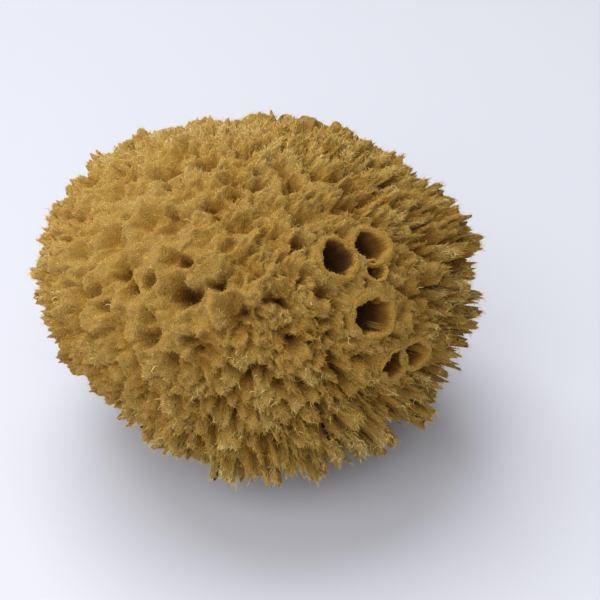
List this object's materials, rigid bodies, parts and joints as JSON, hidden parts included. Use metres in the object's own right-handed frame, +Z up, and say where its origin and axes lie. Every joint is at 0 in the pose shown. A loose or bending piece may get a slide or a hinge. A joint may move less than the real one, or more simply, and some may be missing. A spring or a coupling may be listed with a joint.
{
  "type": "sea sponge",
  "caption": "Roundish natural sea sponge for bathing, dried, with shaggy fibre tufts, deep clefts and round pores, cut flat underneath where it grew on rock.",
  "frame": {"origin": "on the flat cut underneath, straight below the sponge's middle", "axes": "+X along the sponge's longest side, +Z up out of the cut, -Y towards the side with the large pores at its right"},
  "size_m": [0.1524, 0.1334, 0.1101],
  "materials": {
    "sponge_fibre": "matte fibrous skeleton, golden ochre with paler frayed tips"
  },
  "bodies": {
    "root": {"sponge": "sponge_fibre"}
  },
  "joints": []
}
